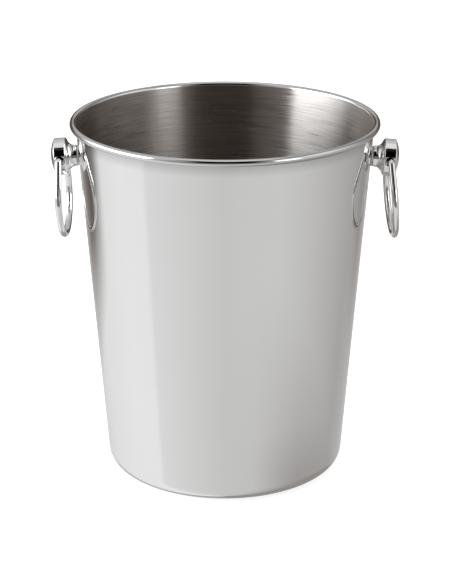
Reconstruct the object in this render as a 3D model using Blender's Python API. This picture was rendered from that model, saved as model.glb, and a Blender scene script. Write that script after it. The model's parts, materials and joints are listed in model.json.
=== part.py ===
"""Champagne bucket: a drawn steel shell with a rolled rim, and a knob with a swinging ring on each side.

Metres, +Z up. The origin is the centre of the flat base, and the knobs stand at -X and +X.
"""

import math

import bmesh
import bpy
from mathutils import Matrix

MM = 0.001

# Shell: one sheet, drawn to a straight taper and rolled outwards at the mouth.
HEIGHT = 240.0 * MM
BASE_RADIUS = 79.3 * MM         # outer wall line carried down to z = 0
WALL_SLOPE = 0.0775             # outward run for each unit of height
SHEET = 0.8 * MM
BASE_FILLET = 10.0 * MM         # outer radius of the corner between wall and base
ROLL_RADIUS = 2.27 * MM         # outer radius of the rolled rim
ROLL_TURN = math.radians(296.0)  # how far the sheet is rolled from the wall
SHELL_SEGMENTS = 64
ROLL_STEPS = 14
FILLET_STEPS = 6

# Knob: a turned piece, square to the wall. Stations are distances out from the wall's outer face.
KNOB_HEIGHT = 214.5 * MM        # where the knob's axis meets the wall
NECK_RADIUS = 7.0 * MM
NECK_START = 1.2 * MM
NECK_END = 2.7 * MM
FLARE_RADIUS = 11.2 * MM        # where the flare meets the head's bevel
FLARE_END = 7.5 * MM
FLARE_SWEEP = math.radians(72.0)
HEAD_RADIUS = 12.25 * MM
HEAD_START = 8.2 * MM
HEAD_END = 15.3 * MM
HEAD_EDGE = 0.6 * MM            # rounding between the head's side and its domed face
DOME_TIP = 18.6 * MM
KNOB_SEGMENTS = 40
FLARE_STEPS = 5
DOME_STEPS = 6

# Cross bore of the knob, where the ring hangs.
BORE_STATION = 12.0 * MM
BORE_RADIUS = 3.0 * MM
BORE_MOUTH_RADIUS = 3.5 * MM
BORE_MOUTH_DEPTH = 1.0 * MM
BORE_SEGMENTS = 24

# Fixings: a screw from inside, a steel washer under its head, and a sealing washer outside the wall.
FIT_GAP = 0.3 * MM              # clearance between touching pieces
SCREW_RADIUS = 2.4 * MM
SCREW_HEAD_RADIUS = 4.6 * MM
SCREW_HEAD_HEIGHT = 2.6 * MM
SCREW_TIP = 7.2 * MM
SCREW_HOLE_RADIUS = 2.8 * MM
SCREW_HOLE_END = 7.7 * MM
RECESS_WIDTH = 1.1 * MM
RECESS_SPAN = 4.6 * MM
RECESS_DEPTH = 1.3 * MM
WASHER_RADIUS = 7.0 * MM
WASHER_THICKNESS = 0.9 * MM
SEAL_RADIUS = 6.7 * MM
SEAL_THICKNESS = 0.6 * MM
FIXING_SEGMENTS = 32

# Ring: bent wire, open inside the bore. Its pins lie in the bore and its elbows clear the head.
WIRE_RADIUS = 2.25 * MM
RING_RADIUS = 25.6 * MM         # centre line of the round part
RING_DROP = 26.8 * MM           # from the pins down to the centre of the round part
SHOULDER = 14.2 * MM            # where the line of a pin and the line of a shoulder cross
ELBOW_RADIUS = 2.6 * MM
PIN_GAP = 1.2 * MM              # between the two pin ends, in the middle of the bore
ELBOW_STEPS = 5
RING_STEPS = 20

SIDES = (
    # name, side, lean of the hanging ring out from the wall, turn of its pins in the loose bore
    ("left", -1, math.radians(-2.2), math.radians(2.6)),
    ("right", 1, math.radians(4.3), math.radians(2.8)),
)

WALL_TILT = math.atan(WALL_SLOPE)
KNOB_WALL_RADIUS = BASE_RADIUS + WALL_SLOPE * KNOB_HEIGHT


def clear_scene():
    for old in list(bpy.data.objects):
        bpy.data.objects.remove(old, do_unlink=True)


def make_material(name, colour, roughness, metallic):
    material = bpy.data.materials.new(name)
    material.use_nodes = True
    shader = material.node_tree.nodes["Principled BSDF"]
    shader.inputs["Base Color"].default_value = (*colour, 1.0)
    shader.inputs["Roughness"].default_value = roughness
    shader.inputs["Metallic"].default_value = metallic
    return material


def add_piece(name, data, material):
    piece = bpy.data.objects.new(name, data)
    bpy.context.scene.collection.objects.link(piece)
    data.materials.append(material)
    return piece


def add_cutter(name, mesh, target):
    """Links a hidden cutter and cuts it out of the target."""
    cutter = bpy.data.objects.new(name, mesh)
    bpy.context.scene.collection.objects.link(cutter)
    cutter.hide_render = True
    cutter.display_type = "WIRE"
    cut = target.modifiers.new(name, "BOOLEAN")
    cut.operation = "DIFFERENCE"
    cut.solver = "EXACT"
    cut.object = cutter
    return cutter


def arc(centre, radius, start, end, steps):
    """Points on an arc in a plane, both ends included."""
    angles = [start + (end - start) * i / steps for i in range(steps + 1)]
    return [(centre[0] + radius * math.cos(a), centre[1] + radius * math.sin(a)) for a in angles]


def turned(name, profile, segments, closed=False, phase=0.0, along_x=False):
    """Mesh turned about Z from (radius, height) points. closed joins the last point to the first."""
    bm = bmesh.new()
    verts = [bm.verts.new((r * math.cos(phase), r * math.sin(phase), z)) for r, z in profile]
    pairs = list(zip(verts, verts[1:]))
    if closed:
        pairs.append((verts[-1], verts[0]))
    edges = [bm.edges.new(pair) for pair in pairs]
    bmesh.ops.spin(
        bm, geom=verts + edges, axis=(0, 0, 1), angle=2 * math.pi, steps=segments, use_merge=True
    )
    bmesh.ops.remove_doubles(bm, verts=bm.verts, dist=1e-6)
    bmesh.ops.recalc_face_normals(bm, faces=bm.faces)
    if along_x:
        bmesh.ops.rotate(bm, verts=bm.verts, matrix=Matrix.Rotation(math.pi / 2, 3, "Y"))
    mesh = bpy.data.meshes.new(name)
    bm.to_mesh(mesh)
    bm.free()
    mesh.shade_smooth()
    mesh.set_sharp_from_angle(angle=math.radians(35))
    return mesh


def fillet_profile(offset):
    """Base centre to the wall's foot, for the outer face (offset 0) or the inner face (offset SHEET)."""
    radius = BASE_FILLET - offset
    centre = (BASE_RADIUS + WALL_SLOPE * BASE_FILLET - BASE_FILLET / math.cos(WALL_TILT), BASE_FILLET)
    return [(0.0, offset)] + arc(centre, radius, -math.pi / 2, -WALL_TILT, FILLET_STEPS)


def shell_mesh():
    roll_z = HEIGHT - ROLL_RADIUS
    inner_wall = BASE_RADIUS - SHEET / math.cos(WALL_TILT) + WALL_SLOPE * roll_z
    centre = (inner_wall + ROLL_RADIUS / math.cos(WALL_TILT), roll_z)
    start = math.pi - WALL_TILT
    end = start - ROLL_TURN
    # the wall's outer face runs on into the inside of the roll, and the roll's outside into the inner face
    roll_inside = arc(centre, ROLL_RADIUS - SHEET, start, end, ROLL_STEPS)
    roll_outside = arc(centre, ROLL_RADIUS, end, start, ROLL_STEPS)
    profile = fillet_profile(0.0) + roll_inside + roll_outside + fillet_profile(SHEET)[::-1]
    # half a segment of turn puts a flat facet, not an edge, behind each knob
    return turned("bucket_shell", profile, SHELL_SEGMENTS, phase=math.pi / SHELL_SEGMENTS)


def knob_mesh(name):
    # the flare leaves the neck along the axis and turns outwards, like the bell of a trumpet
    sweep = [FLARE_SWEEP * i / FLARE_STEPS for i in range(FLARE_STEPS + 1)]
    rise = (FLARE_RADIUS - NECK_RADIUS) / (1 - math.cos(FLARE_SWEEP))
    reach = (FLARE_END - NECK_END) / math.sin(FLARE_SWEEP)
    flare = [(NECK_RADIUS + rise * (1 - math.cos(a)), NECK_END + reach * math.sin(a)) for a in sweep]
    bulge = DOME_TIP - HEAD_END - HEAD_EDGE
    rim = HEAD_RADIUS - HEAD_EDGE
    dome_radius = (rim ** 2 + bulge ** 2) / (2 * bulge)
    half_angle = math.asin(rim / dome_radius)
    dome = arc((0.0, DOME_TIP - dome_radius), dome_radius, math.pi / 2 - half_angle, math.pi / 2, DOME_STEPS)
    profile = [
        (0.0, SCREW_HOLE_END),
        (SCREW_HOLE_RADIUS, SCREW_HOLE_END),
        (SCREW_HOLE_RADIUS, NECK_START),
        (NECK_RADIUS, NECK_START),
        *flare,
        (HEAD_RADIUS, HEAD_START),
        (HEAD_RADIUS, HEAD_END),
        *dome[:-1],
        (0.0, DOME_TIP),
    ]
    return turned(name, profile, KNOB_SEGMENTS, along_x=True)


def bore_cutter_mesh(name):
    """Hourglass along Y: the straight bore, widened at both mouths."""
    reach = HEAD_RADIUS + BORE_MOUTH_DEPTH
    neck = HEAD_RADIUS - BORE_MOUTH_DEPTH
    profile = [
        (0.0, -reach),
        (BORE_MOUTH_RADIUS + BORE_MOUTH_DEPTH / 2, -reach),
        (BORE_RADIUS, -neck),
        (BORE_RADIUS, neck),
        (BORE_MOUTH_RADIUS + BORE_MOUTH_DEPTH / 2, reach),
        (0.0, reach),
    ]
    mesh = turned(name, profile, BORE_SEGMENTS)
    mesh.transform(Matrix.Rotation(math.pi / 2, 4, "X"))
    return mesh


def seal_mesh(name):
    """Sealing washer: flat against the neck, and curved to follow the wall on its inner face."""
    outer_face = FIT_GAP + SEAL_THICKNESS
    profile = [
        (SCREW_HOLE_RADIUS, FIT_GAP),
        (SEAL_RADIUS, FIT_GAP),
        (SEAL_RADIUS, outer_face),
        (SCREW_HOLE_RADIUS, outer_face),
    ]
    mesh = turned(name, profile, FIXING_SEGMENTS, closed=True, along_x=True)
    curve_radius = KNOB_WALL_RADIUS / math.cos(WALL_TILT)
    for vert in mesh.vertices:
        if vert.co.x < FIT_GAP + SEAL_THICKNESS / 2:
            vert.co.x -= curve_radius - math.sqrt(curve_radius ** 2 - vert.co.y ** 2)
    return mesh


def washer_stations():
    """Inner and outer face of the flat washer inside the bucket, clear of the hollow of the wall."""
    curve_radius = (KNOB_WALL_RADIUS - SHEET) / math.cos(WALL_TILT)
    hollow = curve_radius - math.sqrt(curve_radius ** 2 - WASHER_RADIUS ** 2)
    outer_face = -SHEET - hollow - FIT_GAP
    return outer_face - WASHER_THICKNESS, outer_face


def washer_mesh(name):
    low, high = washer_stations()
    profile = [
        (SCREW_HOLE_RADIUS, low),
        (WASHER_RADIUS, low),
        (WASHER_RADIUS, high),
        (SCREW_HOLE_RADIUS, high),
    ]
    return turned(name, profile, FIXING_SEGMENTS, closed=True, along_x=True)


def screw_mesh(name):
    seat = washer_stations()[0] - FIT_GAP
    crown = seat - SCREW_HEAD_HEIGHT
    edge = 0.35 * SCREW_HEAD_HEIGHT
    profile = [
        (0.0, crown),
        (SCREW_HEAD_RADIUS * 0.72, crown),
        (SCREW_HEAD_RADIUS * 0.93, crown + edge * 0.4),
        (SCREW_HEAD_RADIUS, crown + edge),
        (SCREW_HEAD_RADIUS, seat),
        (SCREW_RADIUS, seat),
        (SCREW_RADIUS, SCREW_TIP - SCREW_RADIUS / 3),
        (SCREW_RADIUS * 0.75, SCREW_TIP),
        (0.0, SCREW_TIP),
    ]
    return turned(name, profile, FIXING_SEGMENTS, along_x=True)


def recess_mesh(name):
    """Cross recess in the screw's head, one closed outline extruded along X."""
    w = RECESS_WIDTH / 2
    s = RECESS_SPAN / 2
    quarter = [(w, s), (w, w), (s, w)]
    half = quarter + [(y, -x) for x, y in quarter]
    outline = half + [(-x, -y) for x, y in half]
    crown = washer_stations()[0] - FIT_GAP - SCREW_HEAD_HEIGHT
    bm = bmesh.new()
    face = bm.faces.new([bm.verts.new((crown - RECESS_DEPTH, y, z)) for y, z in outline])
    grown = bmesh.ops.extrude_face_region(bm, geom=[face])
    moved = [item for item in grown["geom"] if isinstance(item, bmesh.types.BMVert)]
    bmesh.ops.translate(bm, verts=moved, vec=(2 * RECESS_DEPTH, 0, 0))
    bmesh.ops.recalc_face_normals(bm, faces=bm.faces)
    mesh = bpy.data.meshes.new(name)
    bm.to_mesh(mesh)
    bm.free()
    return mesh


def ring_route():
    """Half of the wire's centre line, (y, z) from the pin's end to the bottom of the ring."""
    reach = math.hypot(SHOULDER, RING_DROP)
    turn = math.atan2(SHOULDER, RING_DROP) + math.acos(RING_RADIUS / reach)
    elbow_start = SHOULDER - ELBOW_RADIUS * math.tan(turn / 2)
    pin = [(PIN_GAP / 2, 0.0), ((PIN_GAP / 2 + elbow_start) / 2, 0.0)]
    elbow = arc((elbow_start, -ELBOW_RADIUS), ELBOW_RADIUS, math.pi / 2, math.pi / 2 - turn, ELBOW_STEPS)
    loop = arc((0.0, -RING_DROP), RING_RADIUS, math.pi / 2 - turn, -math.pi / 2, RING_STEPS // 2)
    return pin + elbow + loop


def ring_curve(name):
    half = ring_route()
    route = half + [(-y, z) for y, z in half[-2::-1]]
    curve = bpy.data.curves.new(name, "CURVE")
    curve.dimensions = "3D"
    curve.bevel_depth = WIRE_RADIUS
    curve.bevel_resolution = 4
    curve.use_fill_caps = True
    spline = curve.splines.new("POLY")
    spline.points.add(len(route) - 1)
    for point, (y, z) in zip(spline.points, route):
        point.co = (0.0, y, z, 1.0)
    return curve


def build_side(name, side, lean, turn, metals):
    frame = bpy.data.objects.new(f"{name}_knob_frame", None)
    bpy.context.scene.collection.objects.link(frame)
    frame.location = (side * KNOB_WALL_RADIUS, 0.0, KNOB_HEIGHT)
    frame.rotation_euler = (0.0, WALL_TILT, 0.0 if side > 0 else math.pi)

    knob = add_piece(f"{name}_knob", knob_mesh(f"{name}_knob"), metals["knob"])
    bore = add_cutter(f"{name}_bore_cutter", bore_cutter_mesh(f"{name}_bore_cutter"), knob)
    bore.location = (BORE_STATION, 0.0, 0.0)
    seal = add_piece(f"{name}_sealing_washer", seal_mesh(f"{name}_sealing_washer"), metals["seal"])
    washer = add_piece(f"{name}_inner_washer", washer_mesh(f"{name}_inner_washer"), metals["fixing"])
    screw = add_piece(f"{name}_screw", screw_mesh(f"{name}_screw"), metals["fixing"])
    recess = add_cutter(f"{name}_recess_cutter", recess_mesh(f"{name}_recess_cutter"), screw)
    for piece in (knob, bore, seal, washer, screw, recess):
        piece.parent = frame

    ring = add_piece(f"{name}_ring", ring_curve(f"{name}_ring"), metals["ring"])
    reach = BORE_STATION * math.cos(WALL_TILT)
    ring.location = (side * (KNOB_WALL_RADIUS + reach), 0.0, KNOB_HEIGHT - BORE_STATION * math.sin(WALL_TILT))
    ring.rotation_euler = (0.0, -side * lean, side * turn)
    return frame


def add_screw_hole(shell, frame, name):
    profile = [
        (0.0, -4 * SHEET),
        (SCREW_HOLE_RADIUS, -4 * SHEET),
        (SCREW_HOLE_RADIUS, 3 * SHEET),
        (0.0, 3 * SHEET),
    ]
    hole = add_cutter(name, turned(name, profile, BORE_SEGMENTS, along_x=True), shell)
    hole.parent = frame


def main():
    clear_scene()
    steel = (0.78, 0.77, 0.75)
    metals = {
        "shell": make_material("polished_steel", steel, 0.08, 1.0),
        "knob": make_material("knob_chrome", (0.84, 0.84, 0.83), 0.05, 1.0),
        "ring": make_material("ring_chrome", (0.84, 0.84, 0.83), 0.05, 1.0),
        "fixing": make_material("plain_steel", (0.66, 0.65, 0.64), 0.3, 1.0),
        "seal": make_material("seal_rubber", (0.50, 0.50, 0.49), 0.55, 0.0),
    }
    shell = add_piece("bucket_shell", shell_mesh(), metals["shell"])
    for name, side, lean, turn in SIDES:
        frame = build_side(name, side, lean, turn, metals)
        add_screw_hole(shell, frame, f"{name}_screw_hole")


main()
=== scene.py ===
import json
import math
import bpy
from mathutils import Matrix


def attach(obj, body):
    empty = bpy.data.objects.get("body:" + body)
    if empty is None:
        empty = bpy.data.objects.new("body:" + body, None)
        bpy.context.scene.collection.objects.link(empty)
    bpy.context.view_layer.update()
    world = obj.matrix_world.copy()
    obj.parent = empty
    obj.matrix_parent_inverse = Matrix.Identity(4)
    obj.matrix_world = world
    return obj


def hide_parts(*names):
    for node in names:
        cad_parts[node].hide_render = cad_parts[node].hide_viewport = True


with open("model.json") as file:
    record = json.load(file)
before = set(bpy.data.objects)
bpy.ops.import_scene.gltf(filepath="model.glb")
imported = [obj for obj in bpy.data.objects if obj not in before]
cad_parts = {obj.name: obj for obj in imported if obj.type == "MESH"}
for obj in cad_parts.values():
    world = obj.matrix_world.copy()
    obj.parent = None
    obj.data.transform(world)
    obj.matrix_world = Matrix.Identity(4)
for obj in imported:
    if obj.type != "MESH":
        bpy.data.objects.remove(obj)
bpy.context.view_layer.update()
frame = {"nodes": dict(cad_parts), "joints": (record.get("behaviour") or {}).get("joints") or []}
mm = 0.001
print("frame loaded:", len(frame["nodes"]), "nodes")


def clearSelection():
    if bpy.context.object and bpy.context.object.mode != "OBJECT":
        bpy.ops.object.mode_set(mode="OBJECT")
    bpy.ops.object.select_all(action="DESELECT")


def pick(piece):
    clearSelection()
    piece.select_set(True)
    bpy.context.view_layer.objects.active = piece


def arcPoints(centre, radius, start, end, steps):
    turns = [start + (end - start) * i / steps for i in range(steps + 1)]
    return [(centre[0] + radius * math.cos(a), centre[1] + radius * math.sin(a)) for a in turns]


def startCircle(name, sides, radius, place, tilt=(0, 0, 0)):
    clearSelection()
    bpy.ops.mesh.primitive_circle_add(
        vertices=sides, radius=radius, fill_type="NOTHING", location=place, rotation=tilt)
    piece = bpy.context.object
    piece.name = name
    piece.data.name = name
    bpy.ops.object.transform_apply(location=True, rotation=True, scale=True)
    bpy.ops.object.mode_set(mode="EDIT")
    bpy.ops.mesh.select_mode(type="EDGE")
    bpy.ops.mesh.select_all(action="SELECT")
    return piece


def throwLoops(outline):
    # pull the selected loop from each (radius, height) to the next, as on a potter's wheel
    for (r0, z0), (r1, z1) in zip(outline, outline[1:]):
        bpy.ops.mesh.extrude_edges_move(TRANSFORM_OT_translate={"value": (0, 0, z1 - z0)})
        if abs(r1 - r0) > 1e-9:
            bpy.ops.transform.resize(value=(r1 / r0, r1 / r0, 1), center_override=(0, 0, z1))


def closeMesh(piece):
    bpy.ops.mesh.select_all(action="SELECT")
    bpy.ops.mesh.remove_doubles(threshold=1e-6)
    bpy.ops.mesh.normals_make_consistent(inside=False)
    bpy.ops.object.mode_set(mode="OBJECT")


def turnPiece(name, outline, sides, joinEnds=False):
    # outline runs from one cap to the other; joinEnds closes it to a hoop instead
    piece = startCircle(name, sides, outline[0][0], (0, 0, outline[0][1]))
    throwLoops(outline + outline[:1] if joinEnds else outline)
    if not joinEnds:
        bpy.ops.mesh.edge_face_add()
        bpy.ops.mesh.select_all(action="DESELECT")
        bpy.ops.object.mode_set(mode="OBJECT")
        for edge in piece.data.edges:
            edge.select = all(index < sides for index in edge.vertices)
        bpy.ops.object.mode_set(mode="EDIT")
        bpy.ops.mesh.edge_face_add()
    closeMesh(piece)
    return piece


def settle(piece, place):
    # bake the place into the mesh and leave the object at the origin
    pick(piece)
    piece.matrix_world = place
    bpy.ops.object.transform_apply(location=True, rotation=True, scale=True)


def cutAway(piece, cutter):
    pick(piece)
    cut = piece.modifiers.new("cut", "BOOLEAN")
    cut.operation = "DIFFERENCE"
    cut.solver = "EXACT"
    cut.object = cutter
    bpy.ops.object.modifier_apply(modifier=cut.name)
    bpy.data.objects.remove(cutter, do_unlink=True)


def smooth(piece, angle=32):
    pick(piece)
    bpy.ops.object.shade_smooth_by_angle(angle=math.radians(angle), keep_sharp_edges=False)


def showInstead(piece, node, body, material):
    piece.data.materials.append(material)
    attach(piece, body)
    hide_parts(node)


def newMaterial(name, colour, roughness, metallic):
    material = bpy.data.materials.new(name)
    material.use_nodes = True
    shader = material.node_tree.nodes["Principled BSDF"]
    shader.inputs["Base Color"].default_value = (*colour, 1)
    shader.inputs["Roughness"].default_value = roughness
    shader.inputs["Metallic"].default_value = metallic
    return material, material.node_tree.nodes, material.node_tree.links, shader


def stretchedNoise(nodes, links, scale, detail, stretch, roughness=0.5):
    # noise on object coordinates; stretch squashes it along each axis
    coords = nodes.new("ShaderNodeTexCoord")
    mapping = nodes.new("ShaderNodeMapping")
    mapping.inputs["Scale"].default_value = stretch
    noise = nodes.new("ShaderNodeTexNoise")
    noise.inputs["Scale"].default_value = scale
    noise.inputs["Detail"].default_value = detail
    noise.inputs["Roughness"].default_value = roughness
    links.new(coords.outputs["Object"], mapping.inputs["Vector"])
    links.new(mapping.outputs["Vector"], noise.inputs["Vector"])
    return noise


def spread(nodes, links, source, low, high, fromLow=0.3, fromHigh=0.7):
    ranged = nodes.new("ShaderNodeMapRange")
    ranged.inputs["From Min"].default_value = fromLow
    ranged.inputs["From Max"].default_value = fromHigh
    ranged.inputs["To Min"].default_value = low
    ranged.inputs["To Max"].default_value = high
    links.new(source, ranged.inputs["Value"])
    return ranged.outputs["Result"]


def mathNode(nodes, links, operation, first, second=None):
    node = nodes.new("ShaderNodeMath")
    node.operation = operation
    for socket, value in zip(node.inputs, (first, second)):
        if value is None:
            continue
        if isinstance(value, (int, float)):
            socket.default_value = value
        else:
            links.new(value, socket)
    return node.outputs["Value"]


def scaleColour(nodes, links, colour, amount):
    scaled = nodes.new("ShaderNodeVectorMath")
    scaled.operation = "SCALE"
    links.new(colour, scaled.inputs[0])
    links.new(amount, scaled.inputs["Scale"])
    return scaled.outputs["Vector"]


def tintBetween(nodes, links, source, shader, dark, light):
    mix = nodes.new("ShaderNodeMix")
    mix.data_type = "RGBA"
    mix.inputs["A"].default_value = (*dark, 1)
    mix.inputs["B"].default_value = (*light, 1)
    links.new(source, mix.inputs["Factor"])
    links.new(mix.outputs["Result"], shader.inputs["Base Color"])


def bumpFrom(nodes, links, source, shader, strength, distance):
    bump = nodes.new("ShaderNodeBump")
    bump.inputs["Strength"].default_value = strength
    bump.inputs["Distance"].default_value = distance
    links.new(source, bump.inputs["Height"])
    links.new(bump.outputs["Normal"], shader.inputs["Normal"])


def polishedMetal(name, look):
    # bright metal with faint buffing haze and the slow waver of hand-polished sheet
    material, nodes, links, shader = newMaterial(name, look["colour"], look["roughness"], 1.0)
    haze = stretchedNoise(nodes, links, look["hazeScale"], 4, (1, 1, 0.6))
    hazeValue = haze.outputs["Fac"]
    low, high = look["roughness"] * 0.8, look["roughness"] * 1.3
    links.new(spread(nodes, links, hazeValue, low, high), shader.inputs["Roughness"])
    tintBetween(nodes, links, spread(nodes, links, hazeValue, 0, 1), shader, look["shade"], look["colour"])
    buffing = stretchedNoise(nodes, links, look["buffScale"], 3, look["buffStretch"])
    bumpFrom(nodes, links, buffing.outputs["Fac"], shader, look["buffStrength"], look["buffDepth"])
    return material


def paintShadeUnderRim(material, look):
    # paints shade onto the wall just under the rolled rim: the colour darkens towards the rim, and the rim
    # itself is a little darker
    nodes, links = material.node_tree.nodes, material.node_tree.links
    shader = nodes["Principled BSDF"]
    colour = shader.inputs["Base Color"].links[0].from_socket
    coords = nodes.new("ShaderNodeTexCoord")
    split = nodes.new("ShaderNodeSeparateXYZ")
    links.new(coords.outputs["Object"], split.inputs["Vector"])
    height = split.outputs["Z"]
    wall = spread(nodes, links, height, 1, look["paintedShadeTone"], look["paintedShadeFrom"], look["paintedShadeTo"])
    rim = spread(nodes, links, height, 0, look["rimTone"], look["paintedShadeTo"], look["paintedShadeEnd"])
    tone = mathNode(nodes, links, "MAXIMUM", wall, rim)
    links.new(scaleColour(nodes, links, colour, tone), shader.inputs["Base Color"])


def brushedMetal(name, look):
    # fine lines that run round the wall, so highlights draw out up and down it
    material, nodes, links, shader = newMaterial(name, look["colour"], look["roughness"], 1.0)
    shader.inputs["Anisotropic"].default_value = look["stretch"]
    tangent = nodes.new("ShaderNodeTangent")
    tangent.direction_type = "RADIAL"
    tangent.axis = "Z"
    links.new(tangent.outputs["Tangent"], shader.inputs["Tangent"])
    lines = stretchedNoise(nodes, links, look["lineScale"], 5, look["lineStretch"], 0.65)
    lineValue = lines.outputs["Fac"]
    tintBetween(nodes, links, spread(nodes, links, lineValue, 0, 1), shader, look["shade"], look["colour"])
    low, high = look["roughness"] * 0.85, look["roughness"] * 1.2
    links.new(spread(nodes, links, lineValue, low, high), shader.inputs["Roughness"])
    turn = spread(nodes, links, lineValue, 0.25 - look["waver"], 0.25 + look["waver"])  # a quarter is upright
    links.new(turn, shader.inputs["Anisotropic Rotation"])
    bumpFrom(nodes, links, lineValue, shader, look["lineStrength"], look["lineDepth"])
    return material


def rubber(name, look):
    material, nodes, links, shader = newMaterial(name, look["colour"], look["roughness"], 0.0)
    grain = stretchedNoise(nodes, links, look["grainScale"], 3, (1, 1, 1))
    tintBetween(nodes, links, grain.outputs["Fac"], shader, look["shade"], look["colour"])
    bumpFrom(nodes, links, grain.outputs["Fac"], shader, look["grainStrength"], look["grainDepth"])
    return material


outsideLook = {
    "colour": (0.797, 0.797, 0.795), "shade": (0.768, 0.768, 0.765), "roughness": 0.05,
    "hazeScale": 9, "buffScale": 6, "buffStretch": (1, 1, 30), "buffStrength": 0.02, "buffDepth": 0.2 * mm,
    # painted shade: the wall's colour darkens under the rolled rim, and the rim itself is a little darker
    "paintedShadeFrom": 227.5 * mm, "paintedShadeTo": 235.6 * mm, "paintedShadeEnd": 236.4 * mm, "paintedShadeTone": 0.68, "rimTone": 0.84,
}
insideLook = {
    "colour": (0.50, 0.452, 0.424), "shade": (0.31, 0.272, 0.248), "roughness": 0.31, "stretch": 1.0,
    "lineScale": 4, "lineStretch": (9, 9, 270), "lineStrength": 0.10, "lineDepth": 0.03 * mm,
    "waver": 0.015,
}
knobLook = {
    "colour": (0.86, 0.855, 0.85), "shade": (0.82, 0.815, 0.81), "roughness": 0.045,
    "hazeScale": 60, "buffScale": 40, "buffStretch": (12, 1, 1), "buffStrength": 0.02, "buffDepth": 0.1 * mm,
}
ringLook = dict(knobLook, roughness=0.04, hazeScale=45)
screwLook = {
    "colour": (0.70, 0.69, 0.68), "shade": (0.56, 0.55, 0.54), "roughness": 0.28, "stretch": 0.4,
    "lineScale": 400, "lineStretch": (6, 1, 1), "lineStrength": 0.2, "lineDepth": 0.04 * mm, "waver": 0.015,
}
sealLook = {
    "colour": (0.52, 0.52, 0.51), "shade": (0.46, 0.46, 0.45), "roughness": 0.55,
    "grainScale": 1800, "grainStrength": 0.3, "grainDepth": 0.05 * mm,
}

outsideSteel = polishedMetal("polishedOutside", outsideLook)
# paint shade onto the wall under the rolled rim
paintShadeUnderRim(outsideSteel, outsideLook)
insideSteel = brushedMetal("brushedInside", insideLook)
knobChrome = polishedMetal("knobChrome", knobLook)
ringChrome = polishedMetal("ringChrome", ringLook)
screwSteel = brushedMetal("screwSteel", screwLook)
sealRubber = rubber("sealRubber", sealLook)
print("materials ready")

shellSize = {
    "height": 240 * mm, "baseRadius": 79.3 * mm, "slope": 0.0775, "sheet": 0.8 * mm, "corner": 10 * mm,
    "roll": 2.27 * mm, "rollTurn": math.radians(296), "sides": 256, "rollSteps": 36, "cornerSteps": 18,
    "knobHeight": 214.5 * mm, "holeRadius": 2.8 * mm, "holeFrom": -4 * mm, "holeTo": 3 * mm, "holeSides": 48,
    "loopHeights": [50 * mm, 100 * mm, 150 * mm, 190 * mm, 206 * mm, 221.5 * mm, 230 * mm],
}
wallTilt = math.atan(shellSize["slope"])
wallAtKnob = shellSize["baseRadius"] + shellSize["slope"] * shellSize["knobHeight"]
sides = {"left": -1, "right": 1}


def knobFrame(side):
    # local +Z runs out of the wall along the knob's axis, local +X points down along the wall
    facing = Matrix.Rotation(0 if side > 0 else math.pi, 4, "Z")
    droop = Matrix.Rotation(math.pi / 2 + wallTilt, 4, "Y")
    return Matrix.Translation((side * wallAtKnob, 0, shellSize["knobHeight"])) @ facing @ droop


def cornerOutline(inset):
    s = shellSize
    centre = (s["baseRadius"] + s["slope"] * s["corner"] - s["corner"] / math.cos(wallTilt), s["corner"])
    return arcPoints(centre, s["corner"] - inset, -math.pi / 2, -wallTilt, s["cornerSteps"])


def wallRungs(bottom, top):
    # extra loops between two points of the wall, closer together round the screw holes
    (r0, z0), (r1, z1) = bottom, top
    return [(r0 + (r1 - r0) * (z - z0) / (z1 - z0), z) for z in shellSize["loopHeights"]]


def buildShell():
    s = shellSize
    rollZ = s["height"] - s["roll"]
    innerWall = s["baseRadius"] - s["sheet"] / math.cos(wallTilt) + s["slope"] * rollZ
    rollCentre = (innerWall + s["roll"] / math.cos(wallTilt), rollZ)
    start = math.pi - wallTilt
    end = start - s["rollTurn"]
    rollInside = arcPoints(rollCentre, s["roll"] - s["sheet"], start, end, s["rollSteps"])
    rollOutside = arcPoints(rollCentre, s["roll"], end, start, s["rollSteps"])
    outer = cornerOutline(0)
    inner = cornerOutline(s["sheet"])[::-1]
    outline = outer + wallRungs(outer[-1], rollInside[0]) + rollInside
    outline += rollOutside + wallRungs(inner[0], rollOutside[-1])[::-1] + inner
    middle = outer[0][0] * 0.5
    outline = [(middle, 0)] + outline + [(middle, s["sheet"])]
    shell = turnPiece("bucketShell", outline, s["sides"])
    drill = [(s["holeRadius"], s["holeFrom"]), (s["holeRadius"], s["holeTo"])]
    for side in sides.values():
        hole = turnPiece("screwHole", drill, s["holeSides"])
        settle(hole, knobFrame(side))
        cutAway(shell, hole)
    smooth(shell)
    shell.data.materials.append(outsideSteel)
    shell.data.materials.append(insideSteel)
    for face in shell.data.polygons:
        # the inside wall and the inside floor are brushed
        centre, normal = face.center, face.normal
        reach = math.hypot(centre.x, centre.y)
        wall = s["baseRadius"] + s["slope"] * centre.z
        facesIn = centre.x * normal.x + centre.y * normal.y < -0.3 * reach
        onFloor = normal.z > 0.2 and centre.z < s["corner"]
        if (facesIn or onFloor) and centre.z < rollZ and reach < wall - 0.3 * s["sheet"]:
            face.material_index = 1
    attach(shell, "bucket")
    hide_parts("bucket_shell")
    return shell


shell = buildShell()
print("shell:", len(shell.data.polygons), "faces")

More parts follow.
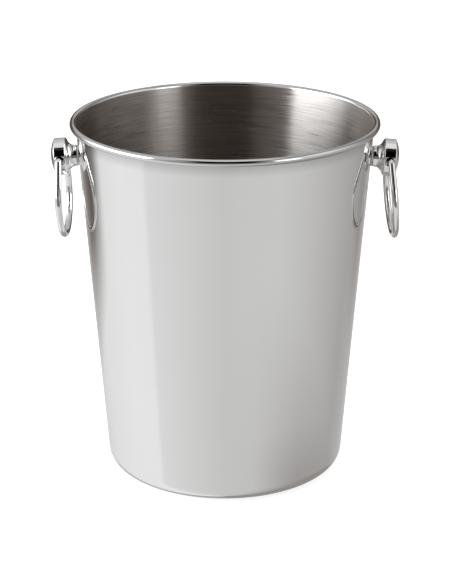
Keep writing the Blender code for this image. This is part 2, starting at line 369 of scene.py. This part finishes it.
knobSize = {
    "neck": 7.0 * mm, "neckStart": 1.2 * mm, "neckEnd": 2.7 * mm, "flare": 11.2 * mm, "flareEnd": 7.5 * mm,
    "flareSweep": math.radians(72), "head": 12.25 * mm, "headStart": 8.2 * mm, "headEnd": 15.3 * mm,
    "edge": 0.6 * mm, "edgeSweep": math.radians(62), "shoulderRound": 0.35 * mm, "neckRound": 0.25 * mm,
    "domeTip": 18.6 * mm, "screwHole": 2.8 * mm, "screwHoleEnd": 7.7 * mm, "holeRound": 0.3 * mm,
    "bore": 3.0 * mm, "boreAt": 12.0 * mm, "boreFlare": 0.9 * mm, "boreSides": 96, "mouthSteps": 10,
    "tipGap": 0.01, "sides": 192, "flareSteps": 20, "shoulderSteps": 4, "headSteps": 14, "edgeSteps": 8,
    "domeSteps": 24,
}
fixingSize = {
    "gap": 0.3 * mm, "screw": 2.4 * mm, "screwHead": 4.6 * mm, "headHeight": 2.6 * mm, "screwTip": 7.2 * mm,
    "pitch": 0.8 * mm, "threadDepth": 0.4 * mm, "washer": 7.0 * mm, "washerThick": 0.9 * mm,
    "washerEdge": 0.2 * mm, "seal": 6.7 * mm, "sealThick": 0.6 * mm, "sealEdge": 0.15 * mm,
    "crownRise": 0.45, "crownGap": 0.12, "tipLength": 0.5 * mm, "tipTaper": 0.7,
    "recessWidth": 1.1 * mm, "recessSpan": 4.6 * mm, "recessDepth": 1.3 * mm, "recessEdge": 0.15 * mm,
    "sides": 96, "edgeSteps": 4, "crownSteps": 12,
}


def buildKnob(name, side):
    k = knobSize
    rise = (k["flare"] - k["neck"]) / (1 - math.cos(k["flareSweep"]))
    reach = (k["flareEnd"] - k["neckEnd"]) / math.sin(k["flareSweep"])
    sweep = [k["flareSweep"] * i / k["flareSteps"] for i in range(k["flareSteps"] + 1)]
    flare = [(k["neck"] + rise * (1 - math.cos(a)), k["neckEnd"] + reach * math.sin(a)) for a in sweep]
    headStart = k["headStart"] + k["shoulderRound"]
    shoulderCentre = (k["head"] - k["shoulderRound"], headStart)
    shoulder = arcPoints(shoulderCentre, k["shoulderRound"], -math.pi / 4, 0, k["shoulderSteps"])
    corner = arcPoints((k["head"] - k["edge"], k["headEnd"]), k["edge"], 0, k["edgeSweep"], k["edgeSteps"])
    edgeRadius, edgeZ = corner[-1]
    bulge = k["domeTip"] - edgeZ
    domeRadius = (edgeRadius ** 2 + bulge ** 2) / (2 * bulge)
    half = math.asin(edgeRadius / domeRadius)
    domeCentre = (0, k["domeTip"] - domeRadius)
    domeTurn = (math.pi / 2 - half, math.pi / 2 - k["tipGap"])
    dome = arcPoints(domeCentre, domeRadius, *domeTurn, k["domeSteps"])[1:]
    headSide = [(k["head"], headStart + (k["headEnd"] - headStart) * i / k["headSteps"])
                for i in range(1, k["headSteps"])]
    neckSide = [(k["neck"] - k["neckRound"], k["neckStart"]), (k["neck"], k["neckStart"] + k["neckRound"])]
    hole = [(k["screwHole"], k["screwHoleEnd"]), (k["screwHole"], k["neckStart"] + k["holeRound"]),
            (k["screwHole"] + k["holeRound"], k["neckStart"])]
    outline = hole + neckSide + flare + shoulder + headSide + corner + dome
    knob = turnPiece(name, outline, k["sides"])
    cutAway(knob, boreCutter())
    settle(knob, knobFrame(side))
    smooth(knob)
    return knob


def boreCutter():
    # the bore runs across the head and opens at both mouths with a soft round
    k = knobSize
    lip = k["boreFlare"]
    mouthCentre = (k["bore"] + lip, k["head"] - lip * 1.25)
    mouth = arcPoints(mouthCentre, lip, math.pi, math.pi / 2 + 0.15, k["mouthSteps"])
    upper = mouth + [(mouth[-1][0] + 0.5 * mm, k["head"] + 1.2 * mm)]
    outline = [(r, -z) for r, z in reversed(upper)] + upper
    cutter = turnPiece("boreCutter", outline, k["boreSides"])
    settle(cutter, Matrix.Translation((0, 0, k["boreAt"])) @ Matrix.Rotation(math.pi / 2, 4, "X"))
    return cutter


def washerFaces():
    curve = (wallAtKnob - shellSize["sheet"]) / math.cos(wallTilt)
    hollow = curve - math.sqrt(curve ** 2 - fixingSize["washer"] ** 2)
    high = -shellSize["sheet"] - hollow - fixingSize["gap"]
    return high - fixingSize["washerThick"], high


def hoop(name, outer, low, high, edge):
    # flat ring with rounded outer corners, bored as wide as the knob's screw hole
    inner, steps = knobSize["screwHole"], fixingSize["edgeSteps"]
    top = arcPoints((outer - edge, high - edge), edge, 0, math.pi / 2, steps)
    bottom = arcPoints((outer - edge, low + edge), edge, -math.pi / 2, 0, steps)
    outline = [(inner, low)] + bottom + top + [(inner, high)]
    return turnPiece(name, outline, fixingSize["sides"], joinEnds=True)


def buildWasher(name, side):
    low, high = washerFaces()
    washer = hoop(name, fixingSize["washer"], low, high, fixingSize["washerEdge"])
    settle(washer, knobFrame(side))
    smooth(washer)
    return washer


def buildSeal(name, side):
    f = fixingSize
    seal = hoop(name, f["seal"], f["gap"], f["gap"] + f["sealThick"], f["sealEdge"])
    curve = wallAtKnob / math.cos(wallTilt)
    middle = f["gap"] + f["sealThick"] / 2
    for vert in seal.data.vertices:
        if vert.co.z < middle:
            vert.co.z -= curve - math.sqrt(curve ** 2 - vert.co.y ** 2)
    settle(seal, knobFrame(side))
    smooth(seal)
    return seal


def buildScrew(name, side):
    f = fixingSize
    seat = washerFaces()[0] - f["gap"]
    crown = seat - f["headHeight"]
    sweep = math.pi / 2 - f["crownGap"]
    turns = [f["crownGap"] + sweep * i / f["crownSteps"] for i in range(f["crownSteps"] + 1)]
    rise = f["crownRise"] * f["headHeight"]
    head = [(f["screwHead"] * math.sin(a), crown + rise * (1 - math.cos(a))) for a in turns]
    root = f["screw"] - f["threadDepth"]
    threadCount = int((f["screwTip"] - seat - 2 * f["pitch"]) / f["pitch"])
    thread = []
    for i in range(threadCount):
        z = seat + (i + 1.5) * f["pitch"]
        thread += [(root, z), (f["screw"], z + f["pitch"] * 0.5)]
    shank = [(f["screw"], seat), (f["screw"], seat + f["pitch"])] + thread
    tip = [(root, f["screwTip"] - f["tipLength"]), (f["screw"] * f["tipTaper"], f["screwTip"])]
    screw = turnPiece(name, head + [(f["screwHead"], seat)] + shank + tip, f["sides"])
    for turn in (0, math.pi / 2):
        clearSelection()
        bpy.ops.mesh.primitive_cube_add(size=1, location=(0, 0, crown), rotation=(0, 0, turn))
        slot = bpy.context.object
        slot.scale = (f["recessWidth"], f["recessSpan"], 2 * f["recessDepth"])
        bpy.ops.object.transform_apply(location=True, rotation=True, scale=True)
        bpy.ops.object.mode_set(mode="EDIT")
        bpy.ops.mesh.select_all(action="SELECT")
        bpy.ops.mesh.bevel(offset=f["recessEdge"], segments=2)
        bpy.ops.object.mode_set(mode="OBJECT")
        cutAway(screw, slot)
    settle(screw, knobFrame(side))
    smooth(screw)
    return screw


for name, side in sides.items():
    knob = buildKnob(name + "Knob", side)
    showInstead(knob, name + "_knob", "bucket", knobChrome)
    washer = buildWasher(name + "InnerWasher", side)
    showInstead(washer, name + "_inner_washer", "bucket", screwSteel)
    seal = buildSeal(name + "SealingWasher", side)
    showInstead(seal, name + "_sealing_washer", "bucket", sealRubber)
    screw = buildScrew(name + "Screw", side)
    showInstead(screw, name + "_screw", "bucket", screwSteel)
    print(name, "knob and fixings done")

ringSize = {
    "wire": 2.25 * mm, "radius": 25.6 * mm, "drop": 26.8 * mm, "shoulder": 14.2 * mm, "elbow": 2.6 * mm,
    "pinGap": 1.2 * mm, "chamfer": 0.3 * mm, "wireSides": 48, "elbowSteps": 12, "roundSteps": 120,
    "lean": {"left": math.radians(-2.2), "right": math.radians(4.3)},
    "turn": {"left": math.radians(2.6), "right": math.radians(2.8)},
}


def buildRing(name, sideName):
    r = ringSize
    reach = math.hypot(r["shoulder"], r["drop"])
    bend = math.atan2(r["shoulder"], r["drop"]) + math.acos(r["radius"] / reach)
    elbowTangent = r["elbow"] * math.tan(bend / 2)
    elbowAt = r["shoulder"] - elbowTangent
    straight = math.sqrt(reach ** 2 - r["radius"] ** 2) - elbowTangent
    pin = elbowAt - r["pinGap"] / 2 - r["chamfer"]
    grow = r["wire"] / (r["wire"] - r["chamfer"])

    def push(distance, heading):
        # heading is the angle below +Y that the wire runs at
        step = (0, math.cos(heading) * distance, -math.sin(heading) * distance)
        bpy.ops.mesh.extrude_region_move(TRANSFORM_OT_translate={"value": step})

    def bendWire(steps, angle, y, z):
        bpy.ops.mesh.spin(steps=steps, angle=angle, center=(0, y, z), axis=(1, 0, 0))

    pinEnd = (0, r["pinGap"] / 2, 0)
    ring = startCircle(name, r["wireSides"], r["wire"] - r["chamfer"], pinEnd, (math.pi / 2, 0, 0))
    bpy.ops.mesh.edge_face_add()
    bpy.ops.mesh.select_mode(type="FACE")
    bpy.ops.mesh.select_all(action="SELECT")
    push(r["chamfer"], 0)
    bpy.ops.transform.resize(value=(grow, 1, grow), center_override=(0, r["pinGap"] / 2 + r["chamfer"], 0))
    push(pin, 0)
    bendWire(r["elbowSteps"], bend, elbowAt, -r["elbow"])
    push(straight, bend)
    bendWire(r["roundSteps"], 2 * (math.pi - bend), 0, -r["drop"])
    push(straight, -bend)
    bendWire(r["elbowSteps"], bend, -elbowAt, -r["elbow"])
    push(pin, 0)
    push(r["chamfer"], 0)
    bpy.ops.transform.resize(value=(1 / grow, 1, 1 / grow), center_override=(0, -r["pinGap"] / 2, 0))
    closeMesh(ring)
    hinge = next(joint for joint in frame["joints"] if joint["name"] == sideName + "_ring_swing")
    turn = Matrix.Rotation(sides[sideName] * r["turn"][sideName], 4, "Z")
    lean = Matrix.Rotation(-sides[sideName] * r["lean"][sideName], 4, "Y")
    settle(ring, Matrix.Translation(hinge["pos_m"]) @ turn @ lean)
    smooth(ring)
    return ring


for name in sides:
    showInstead(buildRing(name + "Ring", name), name + "_ring", name + "_handle", ringChrome)
print("rings done")

studio = {
    "floorSize": 12.0, "floorDrop": 0.2 * mm, "floorColour": (0.5, 0.5, 0.5), "floorGlow": 0.72,
    "lampPower": 60, "lampSize": 3.0, "lampHeight": 2.6,
    "cameraTurn": math.radians(0.6), "cameraTilt": math.radians(19.891), "lens": 119.73,
    "cameraDistance": 1.2171, "cameraHeight": 0.5617,
}

# Polished steel looks like the room it stands in, so the room is what sets its bands of light and dark.
# Each stop is (direction, brightness): directions 0 and 1 are behind the bucket, 0.25 is on its left,
# 0.5 is behind the camera and 0.75 is on its right.
roomBands = {
    # the far table, a little below eye level
    "horizon": [
        (0, 0.74), (0.09, 0.24), (0.118, 0.13), (0.148, 0.28), (0.18, 0.9), (0.25, 1),
        (0.31, 0.965), (0.322, 0.865), (0.367, 0.83), (0.5, 0.7), (0.533, 0.715), (0.625, 0.725),
        (0.667, 0.69), (0.847, 0.46), (0.903, 0.34), (1, 0.62),
    ],
    # the room at eye level: dark behind the bucket and in front of it
    "eyeLevel": [
        (0, 0.08), (0.09, 0.12), (0.15, 0.45), (0.2, 0.85), (0.345, 0.75), (0.39, 0.35),
        (0.44, 0.2), (0.56, 0.16), (0.6, 0.42), (0.664, 0.7), (0.8, 0.55), (0.88, 0.25),
        (0.93, 0.12), (1, 0.08),
    ],
    # the near table, which the bucket's wall mirrors
    "table": [
        (0, 0.74), (0.06, 0.76), (0.097, 0.85), (0.144, 0.93), (0.25, 1), (0.31, 0.985),
        (0.322, 0.865), (0.367, 0.83), (0.5, 0.7), (0.533, 0.715), (0.625, 0.725), (0.667, 0.69),
        (0.847, 0.47), (0.903, 0.5), (1, 0.62),
    ],
    # the table close to the base, with the bucket's own shadow behind it
    "foot": [
        (0, 0.4), (0.08, 0.5), (0.144, 0.93), (0.205, 0.975), (0.31, 0.985), (0.322, 0.865),
        (0.5, 0.69), (0.58, 0.66), (0.722, 0.39), (0.8, 0.33), (1, 0.36),
    ],
    # walls above eye level, with darkness in front
    "walls": [
        (0, 0.55), (0.06, 0.55), (0.172, 0.75), (0.346, 0.75), (0.375, 0.6), (0.42, 0.35),
        (0.447, 0), (0.555, 0), (0.575, 0.12), (0.596, 0.4), (0.664, 0.95), (0.74, 1.1),
        (0.78, 0.9), (0.875, 0.2), (0.93, 0.5), (1, 0.55),
    ],
    # dim walls near the ceiling
    "upper": [
        (0, 0.75), (0.1, 0.6), (0.2, 0.7), (0.35, 0.7), (0.4, 0.04), (0.58, 0.01), (0.64, 0.4),
        (0.8, 0.3), (0.93, 0.6), (1, 0.75),
    ],
}
# sines of the elevations between which one band gives way to the next
bandEdges = {"eyeLevel": (-0.30, -0.22), "table": (-0.35, -0.41), "foot": (-0.47, -0.57),
             "walls": (0.20, 0.28), "upper": (0.72, 0.80), "ceiling": (0.91, 0.95)}
ceilingGlow = (0.85, 0.85, 0.85, 1)
brownInGreen, brownInBlue = 0.22, 0.34  # how much green and blue the darkest parts lose
# two soft boxes stand in front of the walls, a strong one on the left and a weak one on the right
softBoxes = {
    "around": [
        (0, 0), (0.15, 0), (0.172, 1.2), (0.217, 5.5), (0.256, 8.5), (0.3, 9.8), (0.338, 9.8),
        (0.35, 0), (0.598, 0), (0.612, 2), (0.65, 2), (0.664, 0), (1, 0),
    ],
    "bottom": (-0.02, 0.06), "top": (0.45, 0.53), "tint": (0.87, 0.955, 1.0),
}


def wallColour(value, tint):
    # the darker a part of the room, the browner it is
    brown = (1 - min(1, value)) ** 3
    green, blue = 1 - brownInGreen * brown, 1 - brownInBlue * brown
    return (value * tint[0], value * tint[1] * green, value * tint[2] * blue, 1)


def wallRamp(nodes, links, position, stops, tint=(1, 1, 1)):
    ramp = nodes.new("ShaderNodeValToRGB")
    elements = ramp.color_ramp.elements
    elements.remove(elements[1])
    elements[0].position = stops[0][0]
    elements[0].color = wallColour(stops[0][1], tint)
    for place, value in stops[1:]:
        elements.new(place).color = wallColour(value, tint)
    links.new(position, ramp.inputs["Fac"])
    return ramp.outputs["Color"]


def blendColours(nodes, links, factor, first, second):
    mix = nodes.new("ShaderNodeMix")
    mix.data_type = "RGBA"
    links.new(factor, mix.inputs["Factor"])
    for key, value in (("A", first), ("B", second)):
        if isinstance(value, tuple):
            mix.inputs[key].default_value = value
        else:
            links.new(value, mix.inputs[key])
    return mix.outputs["Result"]


def lightRoom():
    world = bpy.data.worlds.new("studioRoom")
    bpy.context.scene.world = world
    world.use_nodes = True
    nodes, links = world.node_tree.nodes, world.node_tree.links
    background = nodes["Background"]
    coords = nodes.new("ShaderNodeTexCoord")
    split = nodes.new("ShaderNodeSeparateXYZ")
    links.new(coords.outputs["Generated"], split.inputs["Vector"])
    behind = mathNode(nodes, links, "MULTIPLY", split.outputs["Y"], -1.0)
    around = mathNode(nodes, links, "ARCTAN2", split.outputs["X"], behind)
    around = mathNode(nodes, links, "ADD", mathNode(nodes, links, "DIVIDE", around, 2 * math.pi), 0.5)
    up = split.outputs["Z"]
    bands = {name: wallRamp(nodes, links, around, stops) for name, stops in roomBands.items()}
    room = bands["horizon"]
    for name in ("eyeLevel", "table", "foot", "walls", "upper"):
        share = spread(nodes, links, up, 0, 1, *bandEdges[name])
        room = blendColours(nodes, links, share, room, bands[name])
    share = spread(nodes, links, up, 0, 1, *bandEdges["ceiling"])
    room = blendColours(nodes, links, share, room, ceilingGlow)
    above = spread(nodes, links, up, 0, 1, *softBoxes["bottom"])
    below = spread(nodes, links, up, 1, 0, *softBoxes["top"])
    window = mathNode(nodes, links, "MULTIPLY", above, below)
    glow = wallRamp(nodes, links, around, softBoxes["around"], softBoxes["tint"])
    lit = nodes.new("ShaderNodeVectorMath")
    lit.operation = "ADD"
    links.new(room, lit.inputs[0])
    links.new(scaleColour(nodes, links, glow, window), lit.inputs[1])
    room = lit.outputs["Vector"]
    path = nodes.new("ShaderNodeLightPath")
    seen = blendColours(nodes, links, path.outputs["Is Camera Ray"], room, (1.0, 1.0, 1.0, 1))
    links.new(seen, background.inputs["Color"])


def layFloor():
    clearSelection()
    bpy.ops.mesh.primitive_plane_add(size=studio["floorSize"], location=(0, 0, -studio["floorDrop"]))
    floor = bpy.context.object
    floor.name = "floor"
    # white glass lit from below, so that shadows on it stay faint
    material, nodes, links, shader = newMaterial("lightTable", studio["floorColour"], 0.9, 0.0)
    shader.inputs["Specular IOR Level"].default_value = 0.0
    shader.inputs["Emission Color"].default_value = (1, 1, 1, 1)
    shader.inputs["Emission Strength"].default_value = studio["floorGlow"]
    floor.data.materials.append(material)
    floor.visible_glossy = False


def hangLamp():
    lamp = bpy.data.lights.new("softLamp", "AREA")
    lamp.energy = studio["lampPower"]
    lamp.size = studio["lampSize"]
    lampObject = bpy.data.objects.new("softLamp", lamp)
    lampObject.location = (0, 0, studio["lampHeight"])
    lampObject.visible_glossy = False
    bpy.context.scene.collection.objects.link(lampObject)


def aimCamera():
    camera = bpy.data.cameras.new("camera")
    camera.lens = studio["lens"]
    camera.sensor_width = 36
    cameraObject = bpy.data.objects.new("camera", camera)
    turn, distance = studio["cameraTurn"], studio["cameraDistance"]
    cameraObject.location = (distance * math.sin(turn), -distance * math.cos(turn), studio["cameraHeight"])
    cameraObject.rotation_euler = (math.pi / 2 - studio["cameraTilt"], 0, turn)
    bpy.context.scene.collection.objects.link(cameraObject)
    bpy.context.scene.camera = cameraObject


lightRoom()
layFloor()
hangLamp()
aimCamera()
bpy.context.scene.view_settings.view_transform = "Standard"
print("studio ready")
